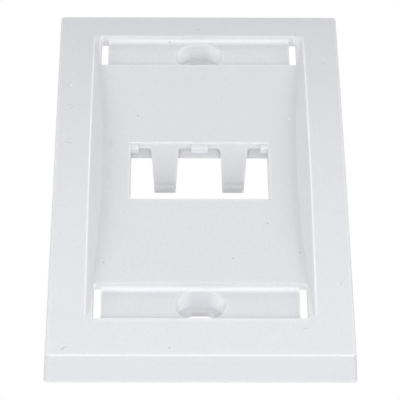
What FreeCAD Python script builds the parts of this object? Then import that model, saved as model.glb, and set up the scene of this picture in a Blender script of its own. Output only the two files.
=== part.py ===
# Single-gang faceplate for two snap-in modules, one injection moulding.
# Frame: millimetres, +Z up the wall, front towards -Y, wall face at Y = 0,
# origin at the middle of the back. Heights off the wall are measured towards -Y.
import FreeCAD, Part
import math
import os
import Sketcher

doc = FreeCAD.newDocument("faceplate")

# ---- driving sizes -------------------------------------------------------
SIZES = [
    ("plate_width", 69.85, "outline across, at the wall"),
    ("plate_length", 114.3, "outline up the wall, at the wall"),
    ("rim_height", 8.3, "front edge off the wall at the two ends"),
    ("crown_rise", 6.4, "how far the arched front stands above its ends"),
    ("side_draft", 4.0, "lean of the four outer walls, degrees"),
    ("corner_radius", 0.9, "upright corners of the outline"),
    ("edge_radius", 0.5, "front edge of the outline"),
    ("skin", 2.0, "wall of the outer shell"),
    ("recess_width", 51.4, "sunk middle, between the two rails"),
    ("recess_length", 94.5, "sunk middle, up the wall"),
    ("recess_slope", 33.0, "lean of the rail's inner walls, degrees"),
    ("ridge_radius", 0.6, "rounded ridge between a rail's face and its inner wall"),
    ("panel_level", 10.3, "flat panel's face off the wall"),
    ("panel_thickness", 1.9, "flat panel"),
    ("pocket_width", 48.3, "label pocket across"),
    ("pocket_height", 10.6, "label pocket up the wall"),
    ("pocket_depth", 1.8, "label pocket below the panel"),
    ("pocket_corner", 0.75, "label pocket's corners in plan"),
    ("pocket_cove", 1.35, "hollow curve along the pocket's two long walls"),
    ("pocket_floor", 1.25, "plastic under the pocket"),
    ("slot_width", 1.7, "slots at the pocket's ends, for a label cover"),
    ("slot_land", 0.15, "between a slot and the pocket's walls"),
    ("screw_spacing", 83.34, "between the two wall screws"),
    ("screw_hole", 3.6, "screw hole's height"),
    ("screw_travel", 3.0, "sideways adjustment of the screw"),
    ("seat_width", 7.0, "flat seat under the screw head, height"),
    ("well_depth", 4.1, "screw seat below the pocket's floor"),
    ("well_rim", 8.3, "mouth of the screw well, height"),
    ("well_edge", 0.25, "rounded edge of the well's mouth"),
    ("well_wall", 1.6, "plastic round and under the screw well"),
    ("opening_width", 32.5, "module opening across"),
    ("opening_height", 18.7, "module opening up the wall"),
    ("opening_drop", 0.3, "opening's middle below the plate's middle"),
    ("opening_edge", 0.25, "rounded edge of the opening"),
    ("stop_height", 1.5, "stops on the opening's top edge"),
    ("stop_setback", 0.3, "stops' front below the panel's face"),
    ("stop_depth", 1.65, "stops, front to back"),
    ("stop_edge", 0.2, "rounded front edges of the stops"),
    ("side_stop_width", 1.8, "stops in the opening's corners"),
    ("mid_stop_width", 3.9, "stop between the two modules"),
    ("collar_depth", 7.1, "collar behind the opening, from the panel's face"),
    ("collar_wall", 1.5, "collar behind the opening"),
    ("collar_gap", 2.0, "room above the fingers for them to bend"),
    ("finger_pitch", 16.4, "between the two latch fingers"),
    ("finger_root", 6.7, "latch finger's width at the panel"),
    ("finger_tip", 5.05, "latch finger's width at its end"),
    ("finger_thickness", 1.2, "latch finger"),
    ("finger_reach", 16.8, "latch finger's end behind the panel's face"),
    ("hook_height", 0.6, "hook below the finger"),
    ("hook_length", 2.9, "hook along the finger"),
    ("hook_flat", 1.2, "level part of the hook, before its ramp"),
    ("root_radius", 0.8, "curve where the finger leaves the panel"),
    ("tip_radius", 0.4, "corners of the finger's end"),
]

sheet = doc.addObject("Spreadsheet::Sheet", "Sizes")
for row, (alias, value, note) in enumerate(SIZES, start=1):
    sheet.set("A%d" % row, note)
    sheet.set("B%d" % row, str(value))
    sheet.setAlias("B%d" % row, alias)
doc.recompute()

# Sizes that follow from the driving ones.
HALF_WIDTH = "Sizes.plate_width / 2"
HALF_LENGTH = "Sizes.plate_length / 2"
CROWN_TOP = "(Sizes.rim_height + Sizes.crown_rise)"
CROWN_RADIUS = "((Sizes.plate_length^2 / 4 + Sizes.crown_rise^2) / (2 * Sizes.crown_rise))"
PANEL_BACK = "(Sizes.panel_level - Sizes.panel_thickness)"
POCKET_LEVEL = "(Sizes.panel_level - Sizes.pocket_depth)"
SEAT_LEVEL = "(%s - Sizes.well_depth)" % POCKET_LEVEL
RIDGE_REACH = "(Sizes.ridge_radius * tan((90 - Sizes.recess_slope) / 2))"
INNER_END = "(Sizes.recess_length / 2 - Sizes.pocket_height)"
WELL_LEAN = "atan((Sizes.well_rim - Sizes.seat_width) / 2 / Sizes.well_depth)"
OPENING_TOP = "(Sizes.opening_height / 2 - Sizes.opening_drop)"
OPENING_BOTTOM = "(-Sizes.opening_height / 2 - Sizes.opening_drop)"
CLEAR = "2"
NEAR = 1e-4


def value(expression):
    """Number that an expression on the sheet gives now."""
    probe = doc.getObject("Probe") or doc.addObject("App::FeaturePython", "Probe")
    if "number" not in probe.PropertiesList:
        probe.addProperty("App::PropertyFloat", "number")
    probe.setExpression("number", expression)
    probe.recompute()
    return float(probe.number)


def new_body(label):
    body = doc.addObject("PartDesign::Body", label)
    body.Label = label
    return body


def plane_of(body, role):
    return next(f for f in body.Origin.OriginFeatures if f.Role == role)


def new_sketch(body, name, role, level="0"):
    """Sketch on one of the body's origin planes, moved along its normal."""
    sketch = body.newObject("Sketcher::SketchObject", name)
    sketch.AttachmentSupport = (plane_of(body, role), [""])
    sketch.MapMode = "FlatFace"
    if level != "0":
        sketch.setExpression("AttachmentOffset.Base.z", level)
    return sketch


def pin(sketch, geometry, end, across, up):
    """Dimension one point of a sketch from the origin, across and up."""
    for kind, expression, axis in (("DistanceX", across, -2), ("DistanceY", up, -1)):
        if expression is None:
            continue
        if expression == "0":
            sketch.addConstraint(Sketcher.Constraint("PointOnObject", geometry, end, axis))
            continue
        index = sketch.addConstraint(
            Sketcher.Constraint(kind, -1, 1, geometry, end, value(expression)))
        sketch.setExpression("Constraints[%d]" % index, expression)


def polygon(sketch, corners, rounds=None):
    """Closed outline through corners, given as pairs of expressions.

    rounds gives a side, by number, an arc: the sharp corner it softens and its radius.
    """
    rounds = rounds or {}
    points = [FreeCAD.Vector(value(across), value(up), 0) for across, up in corners]
    first = sketch.GeometryCount
    count = len(points)
    starts = []
    for i in range(count):
        here, there = points[i], points[(i + 1) % count]
        side = Part.LineSegment(here, there)
        if i in rounds:
            sharp, radius = rounds[i]
            tip = FreeCAD.Vector(value(sharp[0]), value(sharp[1]), 0)
            inward = ((here + there) / 2 - tip).normalize()
            centre = tip + inward * math.hypot((here - tip).Length, value(radius))
            ends = (here, there) if (here - tip).cross(there - tip).z < 0 else (there, here)
            side = Part.Arc(ends[0], centre - inward * value(radius), ends[1])
        sketch.addGeometry(side, False)
        drawn = sketch.Geometry[first + i]
        starts.append(1 if (drawn.StartPoint - here).Length < (drawn.EndPoint - here).Length else 2)
    for i in range(count):
        after = (i + 1) % count
        sketch.addConstraint(
            Sketcher.Constraint("Coincident", first + i, 3 - starts[i], first + after, starts[after]))
    for i in range(count):
        pin(sketch, first + i, starts[i], *corners[i])
    for i, (sharp, radius) in rounds.items():
        index = sketch.addConstraint(Sketcher.Constraint("Radius", first + i, value(radius)))
        sketch.setExpression("Constraints[%d]" % index, radius)


def rectangle(sketch, left, low, right, high):
    polygon(sketch, [(left, low), (right, low), (right, high), (left, high)])


def obround(sketch, middle_up, height, travel):
    """Slot outline lying across, centred on the upright axis."""
    centre_up = value(middle_up)
    radius = value(height) / 2
    reach = value(travel) / 2
    first = sketch.GeometryCount
    for side, start in ((1, -math.pi / 2), (-1, math.pi / 2)):
        centre = FreeCAD.Vector(side * reach, centre_up, 0)
        circle = Part.Circle(centre, FreeCAD.Vector(0, 0, 1), radius)
        sketch.addGeometry(Part.ArcOfCircle(circle, start, start + math.pi), False)
    for side in (1, -1):
        ends = [FreeCAD.Vector(-side * x * reach, centre_up + side * radius, 0) for x in (-1, 1)]
        sketch.addGeometry(Part.LineSegment(*ends), False)
    right, left, top, bottom = range(first, first + 4)
    sketch.addConstraint([
        Sketcher.Constraint("Tangent", right, 2, top, 1),
        Sketcher.Constraint("Tangent", top, 2, left, 1),
        Sketcher.Constraint("Tangent", left, 2, bottom, 1),
        Sketcher.Constraint("Tangent", bottom, 2, right, 1),
        Sketcher.Constraint("Equal", right, left),
    ])
    index = sketch.addConstraint(Sketcher.Constraint("Radius", right, radius))
    sketch.setExpression("Constraints[%d]" % index, "(%s) / 2" % height)
    pin(sketch, right, 3, "(%s) / 2" % travel, middle_up)
    pin(sketch, left, 3, "-(%s) / 2" % travel, None)


def pad(body, sketch, name, length, both=False, taper=None):
    """Extrude a sketch, or cut with it when the name says so."""
    kind = "PartDesign::Pocket" if name.endswith("_cut") else "PartDesign::Pad"
    feature = body.newObject(kind, name)
    feature.Profile = sketch
    feature.Type = 0
    feature.setExpression("Length", length)
    feature.Midplane = both
    if taper:
        feature.setExpression("TaperAngle", taper)
    body.Tip = feature
    doc.recompute()
    return feature


def crown_profile(sketch, drop, top):
    """Region in front of the arched face, which is lowered by drop."""
    radius = value("%s - %s" % (CROWN_RADIUS, drop))
    centre = value("%s - %s" % (CROWN_RADIUS, CROWN_TOP))
    reach = value(HALF_LENGTH + " + " + CLEAR)
    half_angle = math.asin(reach / radius)
    circle = Part.Circle(FreeCAD.Vector(centre, 0, 0), FreeCAD.Vector(0, 0, 1), radius)
    sketch.addGeometry(Part.ArcOfCircle(circle, math.pi - half_angle, math.pi + half_angle), False)
    high = FreeCAD.Vector(-value(top), reach, 0)
    low = FreeCAD.Vector(-value(top), -reach, 0)
    arc_high = sketch.Geometry[0].StartPoint
    arc_low = sketch.Geometry[0].EndPoint
    for a, b in ((arc_low, low), (low, high), (high, arc_high)):
        sketch.addGeometry(Part.LineSegment(a, b), False)
    for a, end_a, b, end_b in ((0, 2, 1, 1), (1, 2, 2, 1), (2, 2, 3, 1), (3, 2, 0, 1)):
        sketch.addConstraint(Sketcher.Constraint("Coincident", a, end_a, b, end_b))
    index = sketch.addConstraint(Sketcher.Constraint("Radius", 0, radius))
    sketch.setExpression("Constraints[%d]" % index, "%s - %s" % (CROWN_RADIUS, drop))
    pin(sketch, 0, 3, "%s - %s" % (CROWN_RADIUS, CROWN_TOP), "0")
    pin(sketch, 0, 1, None, HALF_LENGTH + " + " + CLEAR)
    pin(sketch, 0, 2, None, "-(%s + %s)" % (HALF_LENGTH, CLEAR))
    pin(sketch, 2, 1, "-(%s)" % top, "-(%s + %s)" % (HALF_LENGTH, CLEAR))
    pin(sketch, 2, 2, "-(%s)" % top, HALF_LENGTH + " + " + CLEAR)


def crowned_block(body, inset):
    """Block with drafted sides and an arched front, smaller than the outline by inset."""
    half_x = "(%s - %s)" % (HALF_WIDTH, inset)
    half_z = "(%s - %s)" % (HALF_LENGTH, inset)
    front = "(%s + %s)" % (CROWN_TOP, CLEAR)
    lean = "(%s * tan(Sizes.side_draft))" % front
    side_view = new_sketch(body, body.Label + "_side_view", "YZ_Plane")
    polygon(side_view, [
        ("0", "-" + half_z),
        ("0", half_z),
        ("-" + front, "(%s - %s)" % (half_z, lean)),
        ("-" + front, "-(%s - %s)" % (half_z, lean)),
    ])
    pad(body, side_view, body.Label + "_blank", "(2 * %s)" % half_x, both=True)
    end_view = new_sketch(body, body.Label + "_end_view", "XY_Plane")
    polygon(end_view, [
        (half_x, "0"), (half_x, "-" + front), ("(%s - %s)" % (half_x, lean), "-" + front)])
    polygon(end_view, [
        ("-" + half_x, "0"), ("-" + half_x, "-" + front), ("-(%s - %s)" % (half_x, lean), "-" + front)])
    pad(body, end_view, body.Label + "_sides_cut", "Sizes.plate_length", both=True)
    profile = new_sketch(body, body.Label + "_crown", "YZ_Plane")
    crown_profile(profile, inset, "(%s + %s)" % (front, CLEAR))
    pad(body, profile, body.Label + "_crown_cut", "(Sizes.plate_width + %s)" % CLEAR, both=True)


def rail_section(sketch, side, half_x, foot):
    """A rail beside the sunk middle, cut across: sloped inner wall and rounded ridge."""
    far = "(%s + Sizes.ridge_radius + %s)" % (half_x, CLEAR)
    lift = "(%s + Sizes.crown_rise + 2 * %s)" % (CROWN_TOP, CLEAR)
    ridge_out = "(%s + %s)" % (half_x, RIDGE_REACH)
    corners = [
        (ridge_out, lift),
        (far, lift),
        (far, foot),
        ("(%s - (%s - %s) * tan(Sizes.recess_slope))" % (half_x, CROWN_TOP, foot), foot),
        ("(%s - %s * sin(Sizes.recess_slope))" % (half_x, RIDGE_REACH),
         "(%s - %s * cos(Sizes.recess_slope))" % (CROWN_TOP, RIDGE_REACH)),
        (ridge_out, CROWN_TOP),
    ]
    ridge = ((side + half_x, "-" + CROWN_TOP), "Sizes.ridge_radius")
    polygon(sketch, [(side + across, "-" + high) for across, high in corners], {4: ridge})


def sunk_block(body, half_x, half_z, floor_level):
    """Block over the sunk middle, between rails that follow the arch."""
    outline = new_sketch(body, body.Label + "_outline", "XZ_Plane", floor_level)
    reach = "(%s + Sizes.ridge_radius)" % half_x
    rectangle(outline, "-" + reach, "-" + half_z, reach, half_z)
    pad(body, outline, body.Label + "_blank", "(%s + %s - %s)" % (CROWN_TOP, CLEAR, floor_level))
    axis_y = "(%s - %s)" % (CROWN_RADIUS, CROWN_TOP)
    for name, side in (("right", ""), ("left", "-")):
        section = new_sketch(body, "%s_%s_rail" % (body.Label, name), "XY_Plane")
        rail_section(section, side, half_x, "(%s - %s)" % (floor_level, CLEAR))
        ends = [FreeCAD.Vector(x * value(half_x), value(axis_y), 0) for x in (0, 1)]
        axis = section.addGeometry(Part.LineSegment(*ends), True)
        pin(section, axis, 1, "0", axis_y)
        pin(section, axis, 2, half_x, axis_y)
        cut = body.newObject("PartDesign::Groove", "%s_%s_rail_cut" % (body.Label, name))
        cut.Profile = section
        cut.ReferenceAxis = (section, ["Axis0"])
        cut.setExpression("Angle", "2 * asin((%s + %s) / %s)" % (half_z, CLEAR, CROWN_RADIUS))
        cut.Midplane = True
        body.Tip = cut
        doc.recompute()


def tongue(body, name, side):
    """One latch finger and its hook; side is + or -."""
    middle = "(%s1 * Sizes.finger_pitch / 2)" % side
    front = "(-Sizes.panel_level + Sizes.panel_thickness / 2)"
    back = "(Sizes.finger_reach - Sizes.panel_level)"
    flat = new_sketch(body, name + "_outline", "XY_Plane", OPENING_TOP)
    polygon(flat, [
        ("%s - Sizes.finger_root / 2" % middle, front),
        ("%s + Sizes.finger_root / 2" % middle, front),
        ("%s + Sizes.finger_tip / 2" % middle, back),
        ("%s - Sizes.finger_tip / 2" % middle, back),
    ])
    pad(body, flat, name, "Sizes.finger_thickness")
    low = "(%s - Sizes.hook_height)" % OPENING_TOP
    mid = "(%s + Sizes.finger_thickness / 2)" % OPENING_TOP
    step = "(%s - Sizes.hook_length)" % back
    nose = "(%s + Sizes.hook_flat)" % step
    left = "(%s - Sizes.finger_tip / 2)" % middle
    hook = new_sketch(body, name + "_hook_profile", "YZ_Plane", left)
    polygon(hook, [(step, low), (nose, low), (back, OPENING_TOP), (back, mid), (step, mid)])
    pad(body, hook, name + "_hook", "Sizes.finger_tip")


def edges_where(body, test):
    """Names of the body's edges whose middle point and own shape pass a test."""
    names = []
    for number, edge in enumerate(body.Shape.Edges, start=1):
        if edge.Degenerated:
            continue
        middle = edge.valueAt((edge.FirstParameter + edge.LastParameter) / 2)
        if test(middle, edge):
            names.append("Edge%d" % number)
    return names


def round_edges(body, name, radius, test):
    names = edges_where(body, test)
    if not names:
        raise RuntimeError(name + " found no edges")
    last = body.Tip
    fillet = body.newObject("PartDesign::Fillet", name)
    fillet.Base = (last, names)
    fillet.setExpression("Radius", radius)
    body.Tip = fillet
    doc.recompute()
    return fillet


def combine(body, name, other, kind="Cut"):
    joined = body.newObject("PartDesign::Boolean", name)
    joined.Type = kind
    joined.setObjects([other])
    body.Tip = joined
    doc.recompute()


def label_pocket(name, side):
    """Space of one label pocket: coves along its long walls, rounded corners."""
    body = new_body(name)
    outline = new_sketch(body, name + "_outline", "XZ_Plane", POCKET_LEVEL)
    half_x = "(Sizes.pocket_width / 2)"
    inner = "(%s1 * (Sizes.recess_length / 2 - Sizes.pocket_height))" % side
    outer_end = "(%s1 * Sizes.recess_length / 2)" % side
    low, high = (inner, outer_end) if side == "+" else (outer_end, inner)
    rectangle(outline, "-" + half_x, low, half_x, high)
    pad(body, outline, name + "_blank", "(Sizes.pocket_depth + %s)" % CLEAR)
    floor_y = -value(POCKET_LEVEL)
    round_edges(body, name + "_cove", "Sizes.pocket_cove",
                lambda middle, edge: abs(middle.y - floor_y) < NEAR and abs(middle.x) < NEAR)
    round_edges(body, name + "_corners", "Sizes.pocket_corner",
                lambda middle, edge: abs(edge.tangentAt(edge.FirstParameter).y) > 1 - NEAR)
    return body


def well_mouth_test(middle_up):
    """Test for edges where a well's wall runs out into the pocket."""
    centre_up = value(middle_up)
    reach = value("Sizes.screw_travel") / 2
    rim = value("Sizes.well_rim") / 2
    level = value(POCKET_LEVEL)
    flare = value("tan(%s)" % WELL_LEAN)

    def test(middle, edge):
        across = max(abs(middle.x) - reach, 0)
        out = math.hypot(across, middle.z - centre_up)
        above = -middle.y - level
        along = abs(edge.tangentAt((edge.FirstParameter + edge.LastParameter) / 2).y)
        return above > -NEAR and abs(out - rim - above * flare) < 10 * NEAR and along < 0.9
    return test


doc.recompute()

# Plastic behind the sunk middle: rails' inner walls, panel, pocket floors, wells, collar.
tray = new_body("tray")
SLOPE_SKIN = "(Sizes.skin / cos(Sizes.recess_slope))"
sunk_block(tray, "(Sizes.recess_width / 2 + %s)" % SLOPE_SKIN,
           "(Sizes.recess_length / 2 + Sizes.skin)", PANEL_BACK)

FLOOR_BACK = "(%s - Sizes.pocket_floor)" % POCKET_LEVEL
SEAT_BACK = "(%s - Sizes.well_wall)" % SEAT_LEVEL
COLLAR_BACK = "(Sizes.panel_level - Sizes.collar_depth)"
for name, side in (("upper", "+"), ("lower", "-")):
    backing = new_sketch(tray, name + "_floor_outline", "XZ_Plane", FLOOR_BACK)
    inner = "(%s1 * (%s - Sizes.pocket_floor))" % (side, INNER_END)
    outer_end = "(%s1 * (Sizes.recess_length / 2 + Sizes.skin))" % side
    low, high = (inner, outer_end) if side == "+" else (outer_end, inner)
    half_x = "(Sizes.pocket_width / 2 + Sizes.pocket_floor)"
    rectangle(backing, "-" + half_x, low, half_x, high)
    pad(tray, backing, name + "_floor", "(Sizes.panel_level - Sizes.panel_thickness / 2 - %s)" % FLOOR_BACK)
    boss = new_sketch(tray, name + "_boss_outline", "XZ_Plane", SEAT_BACK)
    obround(boss, "%s1 * Sizes.screw_spacing / 2" % side,
            "(Sizes.well_rim + 2 * Sizes.well_wall)", "Sizes.screw_travel")
    pad(tray, boss, name + "_boss", "(%s + Sizes.pocket_floor / 2 - %s)" % (FLOOR_BACK, SEAT_BACK))

HALF_OPENING = "(Sizes.opening_width / 2)"
COLLAR_TOP = "(%s + Sizes.collar_gap)" % OPENING_TOP
collar = new_sketch(tray, "collar_outline", "XZ_Plane", COLLAR_BACK)
rectangle(collar, "-(%s + Sizes.collar_wall)" % HALF_OPENING, "(%s - Sizes.collar_wall)" % OPENING_BOTTOM,
          "(%s + Sizes.collar_wall)" % HALF_OPENING, "(%s + Sizes.collar_wall)" % COLLAR_TOP)
pad(tray, collar, "collar", "(Sizes.panel_level - Sizes.panel_thickness / 2 - %s)" % COLLAR_BACK)

# Hollow behind the arched shell, kept clear of that plastic.
hollow = new_body("hollow")
crowned_block(hollow, "Sizes.skin")
combine(hollow, "hollow_less_tray", tray)

# Space in front of the panel, between the rails.
recess = new_body("recess")
sunk_block(recess, "(Sizes.recess_width / 2)", "(Sizes.recess_length / 2)", "Sizes.panel_level")

plate = new_body("faceplate")
crowned_block(plate, "0")
round_edges(plate, "upright_corners", "Sizes.corner_radius",
            lambda middle, edge: abs(edge.tangentAt(edge.FirstParameter).y) > 0.9)
round_edges(plate, "front_edge", "Sizes.edge_radius",
            lambda middle, edge: middle.y < -value("Sizes.rim_height") / 2
            and edge.BoundBox.YMax < -value("Sizes.rim_height") / 2)
combine(plate, "hollow_out", hollow)
combine(plate, "sink_middle", recess)

for name, side in (("upper", "+"), ("lower", "-")):
    combine(plate, name + "_label_pocket", label_pocket(name + "_pocket_space", side))
    middle = "%s1 * Sizes.screw_spacing / 2" % side
    well = new_sketch(plate, name + "_well_mouth", "XZ_Plane", "Sizes.panel_level")
    obround(well, middle, "(Sizes.well_rim + 2 * Sizes.pocket_depth * tan(%s))" % WELL_LEAN,
            "Sizes.screw_travel")
    pad(plate, well, name + "_well_cut", "(Sizes.pocket_depth + Sizes.well_depth)",
        taper="-" + WELL_LEAN)
    round_edges(plate, name + "_well_rim", "Sizes.well_edge", well_mouth_test(middle))
    hole = new_sketch(plate, name + "_hole_outline", "XZ_Plane", SEAT_LEVEL)
    obround(hole, middle, "Sizes.screw_hole", "Sizes.screw_travel")
    pad(plate, hole, name + "_hole_cut", "(Sizes.well_wall + %s)" % CLEAR)

opening = new_sketch(plate, "opening_outline", "XZ_Plane", "Sizes.panel_level")
rectangle(opening, "-" + HALF_OPENING, OPENING_BOTTOM, HALF_OPENING, OPENING_TOP)
pad(plate, opening, "opening_cut", "Sizes.panel_level")
panel_y = -value("Sizes.panel_level")
half_opening = value(HALF_OPENING)
round_edges(plate, "opening_rim", "Sizes.opening_edge",
            lambda middle, edge: abs(middle.y - panel_y) < NEAR
            and abs(middle.x) < half_opening + NEAR
            and value(OPENING_BOTTOM) - NEAR < middle.z < value(OPENING_TOP) + NEAR)
behind = new_sketch(plate, "collar_inside", "XZ_Plane", PANEL_BACK)
rectangle(behind, "-" + HALF_OPENING, OPENING_BOTTOM, HALF_OPENING, COLLAR_TOP)
pad(plate, behind, "collar_cut", PANEL_BACK)

STOP_LOW = "(%s - Sizes.stop_height)" % OPENING_TOP
STOP_HIGH = "(%s + Sizes.stop_height / 2)" % OPENING_TOP
STOP_FRONT = "(Sizes.panel_level - Sizes.stop_setback)"
STOP_BACK = "(%s - Sizes.stop_depth)" % STOP_FRONT
HALF_STOP = "(Sizes.mid_stop_width / 2)"
SIDE_STOP = "(%s - Sizes.side_stop_width)" % HALF_OPENING
PAST_SIDE = "(%s + Sizes.collar_wall / 2)" % HALF_OPENING
stops = new_sketch(plate, "stops_outline", "XZ_Plane", STOP_BACK)
rectangle(stops, "-" + PAST_SIDE, STOP_LOW, "-" + SIDE_STOP, STOP_HIGH)
rectangle(stops, "-" + HALF_STOP, STOP_LOW, HALF_STOP, STOP_HIGH)
rectangle(stops, SIDE_STOP, STOP_LOW, PAST_SIDE, STOP_HIGH)
pad(plate, stops, "stops", "Sizes.stop_depth")
round_edges(plate, "stop_edges", "Sizes.stop_edge",
            lambda middle, edge: abs(middle.y + value(STOP_FRONT)) < NEAR
            and abs(middle.x) < half_opening - NEAR
            and value(STOP_LOW) - NEAR < middle.z < value(OPENING_TOP) - NEAR)

for name, side in (("left_finger", "-"), ("right_finger", "+")):
    tongue(plate, name, side)


def finger_corner_test(level):
    """Test for the fingers' upright edges that lie at one height off the wall."""
    low = value(OPENING_TOP)
    high = low + value("Sizes.finger_thickness")
    pitch = value("Sizes.finger_pitch")
    root = value("Sizes.finger_root")

    def test(middle, edge):
        upright = abs(edge.tangentAt(edge.FirstParameter).z) > 1 - NEAR
        beside = abs(abs(middle.x) - pitch / 2) < root / 2 + NEAR
        return upright and beside and abs(middle.y + value(level)) < NEAR and low < middle.z < high
    return test


round_edges(plate, "finger_roots", "Sizes.root_radius", finger_corner_test(PANEL_BACK))
round_edges(plate, "finger_tips", "Sizes.tip_radius",
            finger_corner_test("(Sizes.panel_level - Sizes.finger_reach)"))

# Slots at the ends of the label pockets, open to the back.
SLOT_NEAR = "(%s + Sizes.slot_land)" % INNER_END
SLOT_FAR = "(Sizes.recess_length / 2 - Sizes.slot_land)"
SLOT_BEHIND = "(%s - Sizes.pocket_floor - %s)" % (INNER_END, CLEAR)
SLOT_OUT = "(Sizes.pocket_width / 2 - Sizes.slot_land)"
SLOT_IN = "(%s - Sizes.slot_width)" % SLOT_OUT
SLOT_CORNER = "(Sizes.pocket_corner - Sizes.slot_land)"


def slot_outline(sketch, across, near, far):
    """Slot in plan, its two outer corners rounded; across is the sign of its side."""
    inner = across + SLOT_IN
    outer = across + SLOT_OUT
    before = "%s(%s - %s)" % (across, SLOT_OUT, SLOT_CORNER)
    low, high = sorted((near, far), key=value)
    low_bend = "(%s + %s)" % (low, SLOT_CORNER)
    high_bend = "(%s - %s)" % (high, SLOT_CORNER)
    corners = [(inner, low), (before, low), (outer, low_bend),
               (outer, high_bend), (before, high), (inner, high)]
    polygon(sketch, corners, {1: ((outer, low), SLOT_CORNER), 3: ((outer, high), SLOT_CORNER)})


for name, across, up in (("upper_left", "-", ""), ("upper_right", "", ""),
                         ("lower_left", "-", "-"), ("lower_right", "", "-")):
    slot = new_sketch(plate, name + "_slot_outline", "XZ_Plane", "Sizes.panel_level")
    slot_outline(slot, across, up + SLOT_NEAR, up + SLOT_FAR)
    pad(plate, slot, name + "_slot_cut", "Sizes.panel_level")
    relief = new_sketch(plate, name + "_relief_outline", "XZ_Plane", PANEL_BACK)
    slot_outline(relief, across, up + SLOT_BEHIND, up + SLOT_FAR)
    pad(plate, relief, name + "_relief_cut", PANEL_BACK)

doc.recompute()
for thing in doc.Objects:
    if "Invalid" in thing.State or "Error" in thing.State:
        raise RuntimeError("%s did not build" % thing.Name)

os.makedirs("parts", exist_ok=True)
for body in (plate,):
    shape = body.Shape
    if shape.isNull() or not shape.isValid() or len(shape.Solids) != 1:
        raise RuntimeError(body.Label + " is not one sound solid")
    shape.exportStep("parts/%s.step" % body.Label)
    print(body.Label, round(shape.Volume, 1), shape.optimalBoundingBox())
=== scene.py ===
# White single-gang faceplate, dressed for a studio shot
import bpy
import math
from mathutils import Matrix, Vector


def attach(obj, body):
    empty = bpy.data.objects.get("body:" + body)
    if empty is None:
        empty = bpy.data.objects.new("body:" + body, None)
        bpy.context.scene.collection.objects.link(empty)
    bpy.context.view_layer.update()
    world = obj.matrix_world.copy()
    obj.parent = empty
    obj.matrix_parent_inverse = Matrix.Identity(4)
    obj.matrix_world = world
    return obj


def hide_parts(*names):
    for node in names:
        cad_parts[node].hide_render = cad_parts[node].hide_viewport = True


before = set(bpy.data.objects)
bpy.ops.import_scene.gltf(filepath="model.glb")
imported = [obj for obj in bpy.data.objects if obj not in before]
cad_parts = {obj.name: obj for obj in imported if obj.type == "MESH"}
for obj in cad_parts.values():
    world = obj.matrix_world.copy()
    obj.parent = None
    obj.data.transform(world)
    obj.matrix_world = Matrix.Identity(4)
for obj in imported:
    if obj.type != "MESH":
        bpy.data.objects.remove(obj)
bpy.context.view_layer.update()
print("frame loaded:", sorted(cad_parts))


def deselectAll():
    if bpy.context.object and bpy.context.object.mode != "OBJECT":
        bpy.ops.object.mode_set(mode="OBJECT")
    bpy.ops.object.select_all(action="DESELECT")


def makeActive(obj):
    deselectAll()
    obj.select_set(True)
    bpy.context.view_layer.objects.active = obj


# ---- camera: looks up at the plate from below, through a long lens ----
camera = {
    "place": (-0.00536, -0.43509, -0.43401),
    "turn": 0.7276,      # degrees towards +X
    "tilt": 44.936,      # degrees up
    "roll": -0.3911,
    "lens": 232.66,      # millimetres, over the sensor's width
    "sensor": 36,
    "farthest": 20,
}


def addCamera():
    data = bpy.data.cameras.new("camera")
    data.lens = camera["lens"]
    data.sensor_width = camera["sensor"]
    data.clip_end = camera["farthest"]
    obj = bpy.data.objects.new("camera", data)
    bpy.context.collection.objects.link(obj)
    turn, tilt, roll = (math.radians(camera[k]) for k in ("turn", "tilt", "roll"))
    aim = Matrix.Rotation(-turn, 4, "Z") @ Matrix.Rotation(math.pi / 2 + tilt, 4, "X")
    obj.matrix_world = Matrix.Translation(camera["place"]) @ aim @ Matrix.Rotation(roll, 4, "Z")
    bpy.context.scene.camera = obj


addCamera()
print("camera set")

# ---- floor, lights and white surround ----
studio = {
    "floorDrop": 0.75,       # floor below the plate's middle
    "floorSize": 12,
    "floorColour": (0.86, 0.86, 0.87, 1),
    "floorRoughness": 0.9,
    "white": (1, 1, 1, 1),
    "surroundSeen": 1.0,     # the surround as the camera sees it
    "litFront": 0.35,        # the light it gives, before and behind the plate
    "litBehind": 0.85,
    "litTurn": 0.2,          # the one fades into the other over this much of the direction's Y
    "lights": {
        # name: place, size, power
        "keyCamera": ((0.0, -0.70, -0.70), 0.6, 3.3),
        "keyBelow": ((0.0, -0.50, -0.70), 0.5, 3.5),
        "lowLeft": ((-0.85, -0.55, -0.30), 0.5, 2.65),
        "lowRight": ((0.85, -0.55, -0.30), 0.5, 2.65),
        "highFront": ((0.0, -0.75, 0.65), 0.6, 0.25),
        "highLeft": ((-0.70, -0.47, 0.85), 0.5, 2.8),
        "highRight": ((0.70, -0.47, 0.85), 0.5, 2.8),
        "behindBelow": ((0.0, 0.55, -0.60), 0.5, 0.4),
    },
}


def addFloor():
    deselectAll()
    bpy.ops.mesh.primitive_plane_add(size=studio["floorSize"],
                                     location=(0, 0, -studio["floorDrop"]))
    floor = bpy.context.object
    floor.name = "studioFloor"
    bpy.ops.object.transform_apply(location=True, rotation=True, scale=True)
    material = bpy.data.materials.new("floorPaper")
    material.use_nodes = True
    shader = material.node_tree.nodes["Principled BSDF"]
    shader.inputs["Base Color"].default_value = studio["floorColour"]
    shader.inputs["Roughness"].default_value = studio["floorRoughness"]
    floor.data.materials.append(material)


def addLights():
    for name, (spot, size, power) in studio["lights"].items():
        data = bpy.data.lights.new(name, "AREA")
        data.shape = "SQUARE"
        data.size = size
        data.energy = power
        obj = bpy.data.objects.new(name, data)
        bpy.context.collection.objects.link(obj)
        obj.location = spot
        obj.rotation_euler = (-Vector(spot)).to_track_quat("-Z", "Y").to_euler()


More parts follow.
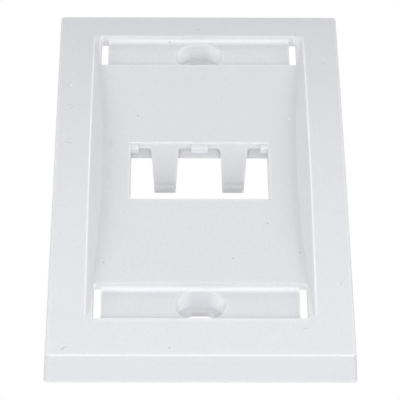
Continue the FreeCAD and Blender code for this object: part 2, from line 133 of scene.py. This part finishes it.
def addSurround():
    world = bpy.data.worlds.new("surround")
    bpy.context.scene.world = world
    world.use_nodes = True
    nodes = world.node_tree.nodes
    links = world.node_tree.links
    nodes.clear()
    facing = nodes.new("ShaderNodeTexCoord")
    parts = nodes.new("ShaderNodeSeparateXYZ")
    level = nodes.new("ShaderNodeMapRange")
    turn = studio["litTurn"]
    for label, amount in (("From Min", -turn), ("From Max", turn),
                          ("To Min", studio["litFront"]), ("To Max", studio["litBehind"])):
        level.inputs[label].default_value = amount
    seen = nodes.new("ShaderNodeBackground")
    lit = nodes.new("ShaderNodeBackground")
    seen.inputs["Strength"].default_value = studio["surroundSeen"]
    for shader in (seen, lit):
        shader.inputs["Color"].default_value = studio["white"]
    path = nodes.new("ShaderNodeLightPath")
    mix = nodes.new("ShaderNodeMixShader")
    out = nodes.new("ShaderNodeOutputWorld")
    links.new(facing.outputs["Generated"], parts.inputs["Vector"])
    links.new(parts.outputs["Y"], level.inputs["Value"])
    links.new(level.outputs["Result"], lit.inputs["Strength"])
    links.new(path.outputs["Is Camera Ray"], mix.inputs["Fac"])
    links.new(lit.outputs["Background"], mix.inputs[1])
    links.new(seen.outputs["Background"], mix.inputs[2])
    links.new(mix.outputs["Shader"], out.inputs["Surface"])


bpy.context.scene.view_settings.view_transform = "Standard"
addFloor()
addLights()
addSurround()
print("studio set")


# ---- effects for the plastics: all but drawnWalls serve both ----
def newGroup(name, inputs, outputs):
    group = bpy.data.node_groups.new(name, "ShaderNodeTree")
    for way, sockets in (("INPUT", inputs), ("OUTPUT", outputs)):
        for label, kind in sockets.items():
            group.interface.new_socket(name=label, in_out=way, socket_type="NodeSocket" + kind)
    return group, group.nodes.new("NodeGroupInput"), group.nodes.new("NodeGroupOutput")


def addNode(tree, kind, links=None, **settings):
    # links: input name or number -> a socket to wire in, or a plain value
    node = tree.nodes.new("ShaderNode" + kind)
    for name, value in settings.items():
        setattr(node, name, value)
    for key, value in (links or {}).items():
        if isinstance(value, bpy.types.NodeSocket):
            tree.links.new(value, node.inputs[key])
        else:
            node.inputs[key].default_value = value
    return node


def calc(tree, kind, first, second):
    return addNode(tree, "Math", {0: first, 1: second}, operation=kind).outputs[0]


def ramp(tree, value, low, high, toLow=0.0, toHigh=1.0, smooth=False):
    style = "SMOOTHSTEP" if smooth else "LINEAR"
    return addNode(tree, "MapRange", {"Value": value, "From Min": low, "From Max": high,
                                      "To Min": toLow, "To Max": toHigh},
                   interpolation_type=style).outputs["Result"]


def blend(tree, share, first, second):
    # on a colour mix, inputs 6 and 7 and output 2 are the ones that carry colour
    node = addNode(tree, "Mix", {"Factor": share}, data_type="RGBA")
    for socket, value in ((node.inputs[6], first), (node.inputs[7], second)):
        if isinstance(value, bpy.types.NodeSocket):
            tree.links.new(value, socket)
        else:
            socket.default_value = value
    return node.outputs[2]


spark = {
    "pits": {"Detail": 3.0, "Roughness": 0.62},
    "pitShare": 0.7,
    "swell": {"Detail": 2.0, "Roughness": 0.5},
    "swellScale": 0.21,      # of the grain's
    "swellShare": 0.3,
    "gloss": (0.35, 0.65),   # the swell's range that the roughness follows
}


def sparkTexture():
    # matt grain that a spark-eroded mould leaves: fine pits, with a slower swell under them
    group, start, end = newGroup(
        "sparkTexture",
        {"Vector": "Vector", "Grain": "Float", "Smoothest": "Float", "Roughest": "Float"},
        {"Height": "Float", "Roughness": "Float"})
    grain = start.outputs["Grain"]
    where = start.outputs["Vector"]
    pits = addNode(group, "TexNoise", {"Vector": where, "Scale": grain, **spark["pits"]})
    swellGrain = calc(group, "MULTIPLY", grain, spark["swellScale"])
    swell = addNode(group, "TexNoise", {"Vector": where, "Scale": swellGrain, **spark["swell"]})
    fine = calc(group, "MULTIPLY", pits.outputs["Fac"], spark["pitShare"])
    slow = calc(group, "MULTIPLY", swell.outputs["Fac"], spark["swellShare"])
    group.links.new(calc(group, "ADD", fine, slow), end.inputs["Height"])
    gloss = ramp(group, swell.outputs["Fac"], *spark["gloss"],
                 start.outputs["Smoothest"], start.outputs["Roughest"])
    group.links.new(gloss, end.inputs["Roughness"])
    return group


drift = {
    "roughness": 0.6,
    "details": {"Clouds": 3.0, "Fleck": 1.0},
    "amounts": {"Clouds": "Cloudy", "Fleck": "Flecked"},
}


def toneDrift():
    # the resin's colour wanders a little: wide clouds and small flecks of the same plastic
    group, start, end = newGroup(
        "toneDrift",
        {"Vector": "Vector", "Colour": "Color", "Clouds": "Float", "Cloudy": "Float",
         "Fleck": "Float", "Flecked": "Float"},
        {"Colour": "Color"})
    level = 1.0
    for size, amount in drift["amounts"].items():
        noise = addNode(group, "TexNoise", {
            "Vector": start.outputs["Vector"], "Scale": start.outputs[size],
            "Detail": drift["details"][size], "Roughness": drift["roughness"]})
        swing = calc(group, "SUBTRACT", noise.outputs["Fac"], 0.5)
        level = calc(group, "ADD", level, calc(group, "MULTIPLY", swing, start.outputs[amount]))
    shade = addNode(group, "HueSaturation", {"Color": start.outputs["Colour"], "Value": level})
    group.links.new(shade.outputs["Color"], end.inputs["Colour"])
    return group


marks = {
    "softEdge": (1.0, 0.55),     # of a mark's size
    "bend": {"Scale": 420.0, "Detail": 0.0},
    "thread": (0.03, 0.012),
}


def strayMarks():
    # sparse marks laid out in the plate's plane: round specks, or short curved hairs where
    # Hair is 1; a face square to that plane would draw them out along Y
    group, start, end = newGroup(
        "strayMarks",
        {"Vector": "Vector", "Spacing": "Float", "Size": "Float", "Share": "Float", "Hair": "Float"},
        {"Mask": "Float"})
    where = start.outputs["Vector"]
    spacing = start.outputs["Spacing"]
    spot = addNode(group, "SeparateXYZ", {"Vector": where})
    seen = addNode(group, "CombineXYZ", {"X": spot.outputs["X"], "Y": spot.outputs["Z"]})
    cells = addNode(group, "TexVoronoi", {"Vector": seen.outputs["Vector"],
                                          "Scale": calc(group, "DIVIDE", 1.0, spacing)},
                    voronoi_dimensions="2D")
    away = calc(group, "MULTIPLY", cells.outputs["Distance"], spacing)
    reach = calc(group, "DIVIDE", away, start.outputs["Size"])
    mark = ramp(group, reach, *marks["softEdge"], smooth=True)
    pick = addNode(group, "SeparateColor", {"Color": cells.outputs["Color"]})
    kept = calc(group, "LESS_THAN", pick.outputs["Red"], start.outputs["Share"])
    # a hair is a thin level line of slow noise, kept inside the spot
    bend = addNode(group, "TexNoise", {"Vector": where, **marks["bend"]})
    middle = calc(group, "SUBTRACT", bend.outputs["Fac"], 0.5)
    line = addNode(group, "Math", {0: middle}, operation="ABSOLUTE")
    thread = ramp(group, line.outputs[0], *marks["thread"], smooth=True)
    shape = addNode(group, "Mix", {"Factor": start.outputs["Hair"], "A": 1.0, "B": thread},
                    data_type="FLOAT")
    mask = calc(group, "MULTIPLY", calc(group, "MULTIPLY", mark, kept), shape.outputs["Result"])
    group.links.new(mask, end.inputs["Mask"])
    return group


rubbing = {
    "stretch": (0.03, 1.0, 1.0),
    "lineDetail": 1.0,
    "patchDetail": 2.0,
    "streak": (0.66, 0.76),
    "area": (0.52, 0.64),
}


def handlingRubs():
    # faint straight rubs from handling, in patches
    group, start, end = newGroup(
        "handlingRubs",
        {"Vector": "Vector", "Turn": "Float", "Fineness": "Float", "Patches": "Float"},
        {"Mask": "Float"})
    where = start.outputs["Vector"]
    turned = addNode(group, "VectorRotate", {"Vector": where, "Angle": start.outputs["Turn"]},
                     rotation_type="Y_AXIS")
    stretched = addNode(group, "VectorMath", {0: turned.outputs["Vector"], 1: rubbing["stretch"]},
                        operation="MULTIPLY")
    lines = addNode(group, "TexNoise", {
        "Vector": stretched.outputs["Vector"], "Scale": start.outputs["Fineness"],
        "Detail": rubbing["lineDetail"]})
    patch = addNode(group, "TexNoise", {
        "Vector": where, "Scale": start.outputs["Patches"], "Detail": rubbing["patchDetail"]})
    streak = ramp(group, lines.outputs["Fac"], *rubbing["streak"], smooth=True)
    area = ramp(group, patch.outputs["Fac"], *rubbing["area"], smooth=True)
    group.links.new(calc(group, "MULTIPLY", streak, area), end.inputs["Mask"])
    return group


edges = {
    "samples": 8,
    "open": (0.97, 0.6),
}


def paintedEdgeHighlight():
    # painted highlight: lighter colour along convex ridges, rims and small walls, where tracing inward
    # finds the plastic thin; it stands in for light that glints on and gets through those edges
    group, start, end = newGroup(
        "paintedEdgeHighlight", {"Reach": "Float", "Strength": "Float"}, {"Mask": "Float"})
    inward = addNode(group, "AmbientOcclusion", {"Distance": start.outputs["Reach"]},
                     inside=True, samples=edges["samples"])
    edgeHighlight = ramp(group, inward.outputs["AO"], *edges["open"], smooth=True)
    group.links.new(calc(group, "MULTIPLY", edgeHighlight, start.outputs["Strength"]), end.inputs["Mask"])
    return group


walls = {
    # how far a face turns to the side (X) and to the front (Y), from mask 0 to mask 1
    "wallSide": (0.05, 0.9),
    "wallFront": (0.4, 0.25),
    "ridgeSide": (0.06, 0.3),
    "ridgeFront": (0.58, 0.75),
}


def drawnWalls():
    # masks for the steep side walls and the long rounded ridges; the lighter tones put there
    # make up for light that the lamps don't give, and aren't a second plastic
    group, start, end = newGroup(
        "drawnWalls",
        {"Normal": "Vector", "Vector": "Vector", "Within": "Float", "Ridged": "Float"},
        {"Walls": "Float", "Ridges": "Float"})
    turned = addNode(group, "VectorMath", {0: start.outputs["Normal"]}, operation="ABSOLUTE")
    facing = addNode(group, "SeparateXYZ", {"Vector": turned.outputs["Vector"]})
    spot = addNode(group, "SeparateXYZ", {"Vector": start.outputs["Vector"]})
    across = calc(group, "ABSOLUTE", spot.outputs["X"], 0.0)
    inside = calc(group, "LESS_THAN", across, start.outputs["Within"])
    sideways = calc(group, "MULTIPLY", ramp(group, facing.outputs["X"], *walls["wallSide"]),
                    ramp(group, facing.outputs["Y"], *walls["wallFront"]))
    rounded = calc(group, "MULTIPLY", ramp(group, facing.outputs["X"], *walls["ridgeSide"]),
                   ramp(group, facing.outputs["Y"], *walls["ridgeFront"]))
    group.links.new(calc(group, "MULTIPLY", sideways, inside), end.inputs["Walls"])
    outer = calc(group, "GREATER_THAN", across, start.outputs["Ridged"])
    group.links.new(calc(group, "MULTIPLY", calc(group, "MULTIPLY", rounded, inside), outer),
                    end.inputs["Ridges"])
    return group


makers = (sparkTexture, toneDrift, strayMarks, handlingRubs, paintedEdgeHighlight, drawnWalls)
effects = {make.__name__: make() for make in makers}
print("shared effects made:", len(effects))


def place(tree, effect, **values):
    node = tree.nodes.new("ShaderNodeGroup")
    node.node_tree = effects[effect]
    for name, value in values.items():
        if isinstance(value, bpy.types.NodeSocket):
            tree.links.new(value, node.inputs[name])
        else:
            node.inputs[name].default_value = value
    return node


# ---- matt white plastic of the front ----
frontPlastic = {
    "colour": (0.614, 0.618, 0.640, 1),
    # colour of the painted highlight along thin edges
    "edgeHighlightAndRubColour": (0.80, 0.80, 0.81, 1),
    "edgeHighlight": {"Reach": 0.0011, "Strength": 0.25},
    # metres across: both masks stay within the first, and ridges start past the second
    "drawn": {"Within": 0.029, "Ridged": 0.0245},
    # painted light on the steep side walls, painted highlight on the long rounded ridges
    "wallLightColour": (0.805, 0.805, 0.805, 1),
    "ridgeHighlightColour": (0.76, 0.76, 0.77, 1),
    "grain": {"Grain": 3800.0, "Smoothest": 0.35, "Roughest": 0.45},
    "grainDepth": 0.00003,
    "drift": {"Clouds": 90.0, "Cloudy": 0.035, "Fleck": 2300.0, "Flecked": 0.12},
    "specks": {"Spacing": 0.0075, "Size": 0.0002, "Share": 0.11},
    "speckColour": (0.27, 0.265, 0.26, 1),
    "hairs": {"Spacing": 0.009, "Size": 0.0011, "Share": 0.13, "Hair": 1.0},
    "hairShare": 0.4,
    "asideBy": (0.031, 0.017, 0.043),    # moves hairs and lint off the specks
    "lint": {"Spacing": 0.013, "Size": 0.00022, "Share": 0.1},
    "lintColour": (0.93, 0.93, 0.93, 1),
    "rubs": {"Turn": 0.5, "Fineness": 2600.0, "Patches": 90.0},
    "rubLift": 0.05,
}


def makeFrontPlastic():
    look = frontPlastic
    material = bpy.data.materials.new("whitePlasticMatt")
    material.use_nodes = True
    tree = material.node_tree
    shader = tree.nodes["Principled BSDF"]
    spots = addNode(tree, "TexCoord")
    where = spots.outputs["Object"]
    shifted = addNode(tree, "Mapping", {"Vector": where, "Location": look["asideBy"]})
    aside = shifted.outputs["Vector"]
    grain = place(tree, "sparkTexture", Vector=where, **look["grain"])
    tone = place(tree, "toneDrift", Vector=where, Colour=look["colour"], **look["drift"])
    edgeHighlight = place(tree, "paintedEdgeHighlight", **look["edgeHighlight"])
    drawn = place(tree, "drawnWalls", Normal=spots.outputs["Normal"], Vector=where, **look["drawn"])
    rubs = place(tree, "handlingRubs", Vector=where, **look["rubs"])
    specks = place(tree, "strayMarks", Vector=where, **look["specks"])
    hairs = place(tree, "strayMarks", Vector=aside, **look["hairs"])
    lint = place(tree, "strayMarks", Vector=aside, **look["lint"])
    # painted highlight along ridges, rims and small walls
    colour = blend(tree, edgeHighlight.outputs["Mask"], tone.outputs["Colour"], look["edgeHighlightAndRubColour"])
    # painted light on the steep walls, then painted highlight on the ridges
    colour = blend(tree, drawn.outputs["Walls"], colour, look["wallLightColour"])
    colour = blend(tree, drawn.outputs["Ridges"], colour, look["ridgeHighlightColour"])
    rubShare = calc(tree, "MULTIPLY", rubs.outputs["Mask"], look["rubLift"])
    colour = blend(tree, rubShare, colour, look["lintColour"])
    hairShare = calc(tree, "MULTIPLY", hairs.outputs["Mask"], look["hairShare"])
    colour = blend(tree, hairShare, colour, look["speckColour"])
    colour = blend(tree, specks.outputs["Mask"], colour, look["speckColour"])
    colour = blend(tree, lint.outputs["Mask"], colour, look["lintColour"])
    tree.links.new(colour, shader.inputs["Base Color"])
    tree.links.new(grain.outputs["Roughness"], shader.inputs["Roughness"])
    bump = addNode(tree, "Bump", {"Height": grain.outputs["Height"], "Strength": 1.0,
                                  "Distance": look["grainDepth"]})
    tree.links.new(bump.outputs["Normal"], shader.inputs["Normal"])
    return material


# ---- smoother white plastic of the back, with faint marks of the ejector pins ----
backPlastic = {
    "colour": (0.60, 0.604, 0.618, 1),
    # colour of the painted highlight along thin edges, also the tone the handling rubs lift towards
    "edgeHighlightAndRubColour": (0.74, 0.74, 0.75, 1),
    "edgeHighlight": {"Reach": 0.001, "Strength": 0.5},
    "grain": {"Grain": 1500.0, "Smoothest": 0.30, "Roughest": 0.35},
    "grainDepth": 0.000012,
    "drift": {"Clouds": 40.0, "Cloudy": 0.025, "Fleck": 1500.0, "Flecked": 0.04},
    "specks": {"Spacing": 0.012, "Size": 0.0002, "Share": 0.08},
    "speckColour": (0.2, 0.195, 0.19, 1),
    "rubs": {"Turn": 1.2, "Fineness": 1800.0, "Patches": 60.0},
    "rubLift": 0.05,
    "acrossPlate": (1, 0, 1),
    "pinPlaces": ((0.0145, 0.0, 0.0265), (0.0285, 0.0, 0.0505)),   # mirrored into each quarter
    "pinRadius": 0.0022,
    "pinEdge": 0.00012,
    "pinDepth": 0.00006,
}


def makeBackPlastic():
    look = backPlastic
    material = bpy.data.materials.new("whitePlasticSmooth")
    material.use_nodes = True
    tree = material.node_tree
    shader = tree.nodes["Principled BSDF"]
    where = addNode(tree, "TexCoord").outputs["Object"]
    grain = place(tree, "sparkTexture", Vector=where, **look["grain"])
    tone = place(tree, "toneDrift", Vector=where, Colour=look["colour"], **look["drift"])
    edgeHighlight = place(tree, "paintedEdgeHighlight", **look["edgeHighlight"])
    rubs = place(tree, "handlingRubs", Vector=where, **look["rubs"])
    specks = place(tree, "strayMarks", Vector=where, **look["specks"])
    flat = addNode(tree, "VectorMath", {0: where, 1: look["acrossPlate"]}, operation="MULTIPLY")
    quarter = addNode(tree, "VectorMath", {0: flat.outputs["Vector"]}, operation="ABSOLUTE")
    near = None
    for spot in look["pinPlaces"]:
        gap = addNode(tree, "VectorMath", {0: quarter.outputs["Vector"], 1: spot}, operation="DISTANCE")
        away = gap.outputs["Value"]
        near = away if near is None else calc(tree, "MINIMUM", near, away)
    pin = ramp(tree, near, look["pinRadius"] - look["pinEdge"], look["pinRadius"], smooth=True)
    # painted highlight along ridges, rims and small walls
    colour = blend(tree, edgeHighlight.outputs["Mask"], tone.outputs["Colour"], look["edgeHighlightAndRubColour"])
    rubShare = calc(tree, "MULTIPLY", rubs.outputs["Mask"], look["rubLift"])
    colour = blend(tree, rubShare, colour, look["edgeHighlightAndRubColour"])
    colour = blend(tree, specks.outputs["Mask"], colour, look["speckColour"])
    tree.links.new(colour, shader.inputs["Base Color"])
    tree.links.new(grain.outputs["Roughness"], shader.inputs["Roughness"])
    bump = addNode(tree, "Bump", {"Height": grain.outputs["Height"], "Strength": 1.0,
                                  "Distance": look["grainDepth"]})
    sunk = addNode(tree, "Bump", {"Height": pin, "Strength": 1.0, "Distance": look["pinDepth"],
                                  "Normal": bump.outputs["Normal"]})
    tree.links.new(sunk.outputs["Normal"], shader.inputs["Normal"])
    return material


# ---- the moulding: the frame's own solid, welded and smoothed ----
moulding = {
    "weld": 1e-6,
    "smoothUnder": 46,       # degrees
    "evenWeight": 90,        # large faces lead the shading of the small ones beside them
    "backFacing": 0.25,      # faces that turn this far to the wall take the smooth plastic
}


def makeMoulding(front, back):
    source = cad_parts["faceplate"]
    piece = bpy.data.objects.new("faceplateMoulding", source.data.copy())
    bpy.context.collection.objects.link(piece)
    makeActive(piece)
    bpy.ops.object.mode_set(mode="EDIT")
    bpy.ops.mesh.select_all(action="SELECT")
    bpy.ops.mesh.remove_doubles(threshold=moulding["weld"])
    bpy.ops.object.mode_set(mode="OBJECT")
    bpy.ops.mesh.customdata_custom_splitnormals_clear()
    bpy.ops.object.shade_smooth_by_angle(angle=math.radians(moulding["smoothUnder"]))
    even = piece.modifiers.new("evenNormals", "WEIGHTED_NORMAL")
    even.keep_sharp = True
    even.weight = moulding["evenWeight"]
    bpy.ops.object.modifier_apply(modifier=even.name)
    piece.data.materials.clear()
    piece.data.materials.append(front)
    piece.data.materials.append(back)
    for face in piece.data.polygons:
        face.material_index = 1 if face.normal.y > moulding["backFacing"] else 0
    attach(piece, "root")
    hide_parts("faceplate")


makeMoulding(makeFrontPlastic(), makeBackPlastic())
print("moulding made")
